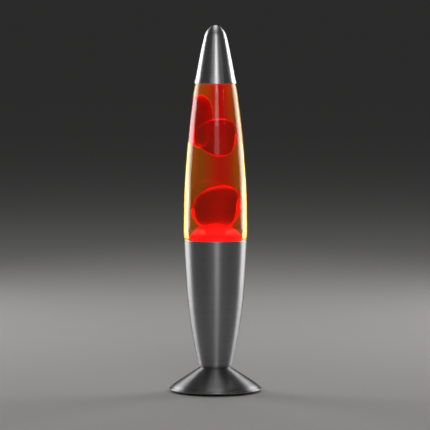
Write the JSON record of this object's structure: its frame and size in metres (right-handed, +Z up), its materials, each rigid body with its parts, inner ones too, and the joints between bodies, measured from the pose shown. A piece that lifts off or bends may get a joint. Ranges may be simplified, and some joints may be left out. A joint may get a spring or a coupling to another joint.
{
  "type": "lava lamp",
  "caption": "Table lamp with a rounded pointed metal cap, tapered bottle of coloured liquid with moving wax, and tapered metal housing on a conical foot.",
  "frame": {"origin": "centre of the table contact plane under the lamp, on its vertical axis", "axes": "+Z up along the lamp's axis, +Y towards the back where the cord leaves, +X to the right seen from the front"},
  "size_m": [0.085, 0.085, 0.339],
  "materials": {
    "spun_aluminium_foot": "spun satin",
    "spun_aluminium_housing": "spun satin",
    "spun_aluminium_cap": "spun satin",
    "black_rubber": "matt",
    "black_moulding": "fine texture",
    "zinc_steel": "zinc plated",
    "holder_moulding": "moulded",
    "holder_ceramic": "unglazed",
    "contact_brass": "plain",
    "bulb_glass": "clear front, silvered flare",
    "bulb_cap_metal": "rolled",
    "bulb_black_glass": "glossy",
    "solder": "solder",
    "lead_wire": "drawn",
    "filament": "glowing",
    "bottle_glass": "clear, polished",
    "amber_liquid": "clear",
    "red_wax": "smooth",
    "coil_wire": "drawn wire",
    "crown_metal": "lacquered",
    "liner": "soft"
  },
  "bodies": {
    "base": {"foot_shell": "spun_aluminium_foot", "base_housing": "spun_aluminium_housing", "cord_grommet": "black_rubber", "rubber_feet": "black_rubber", "bottom_cover": "black_moulding", "foot_strap": "zinc_steel", "cover_screws": "zinc_steel", "nipple_washers": "zinc_steel", "nipple_nuts": "zinc_steel", "threaded_nipple": "zinc_steel", "lampholder_dome": "holder_moulding", "lampholder_skirt": "holder_moulding", "lampholder_insert": "holder_ceramic", "thread_contact": "contact_brass", "centre_contact": "contact_brass", "terminal_screws": "contact_brass"},
    "bulb_seat": {"bulb_pip": "solder"},
    "bulb": {"bulb_glass": "bulb_glass", "bulb_stem": "bulb_glass", "bulb_screw_cap": "bulb_cap_metal", "bulb_insulator": "bulb_black_glass", "bulb_lead_wires": "lead_wire", "bulb_filament": "filament"},
    "bottle": {"glass_bottle": "bottle_glass", "liquid": "amber_liquid", "wax_pool": "red_wax", "heating_coil": "coil_wire", "crown_cap": "crown_metal", "crown_liner": "liner"},
    "wax_lower": {"wax_lower_blob": "red_wax"},
    "wax_middle": {"wax_middle_blob": "red_wax"},
    "wax_upper": {"wax_upper_blob": "red_wax"},
    "cap": {"top_cap": "spun_aluminium_cap"}
  },
  "joints": [
    {"name": "bottle_lift", "type": "slide", "parent": "base", "child": "bottle", "axis": [0, 0, 1], "range_m": [0, 0.12]},
    {"name": "cap_lift", "type": "slide", "parent": "bottle", "child": "cap", "axis": [0, 0, 1], "range_m": [0, 0.06]},
    {"name": "bulb_rise", "type": "slide", "parent": "base", "child": "bulb_seat", "axis": [0, 0, 1], "range_m": [0, 0.0115]},
    {"name": "bulb_turn", "type": "hinge", "parent": "bulb_seat", "child": "bulb", "pos_m": [0, 0, 0.0625], "axis": [0, 0, 1], "range_deg": [0, 1440]},
    {"name": "wax_lower_rise", "type": "slide", "parent": "bottle", "child": "wax_lower", "axis": [0, 0, 1], "range_m": [0, 0.012], "deforming": ["liquid"]},
    {"name": "wax_middle_float", "type": "slide", "parent": "bottle", "child": "wax_middle", "axis": [0, 0, 1], "range_m": [-0.01, 0.002], "deforming": ["liquid"]},
    {"name": "wax_upper_float", "type": "slide", "parent": "bottle", "child": "wax_upper", "axis": [0, 0, 1], "range_m": [-0.0015, 0.006], "deforming": ["liquid"]}
  ],
  "couplings": [
    {"joint": "bulb_rise", "follows": "bulb_turn", "m_per_rad": 0.00044913}
  ]
}
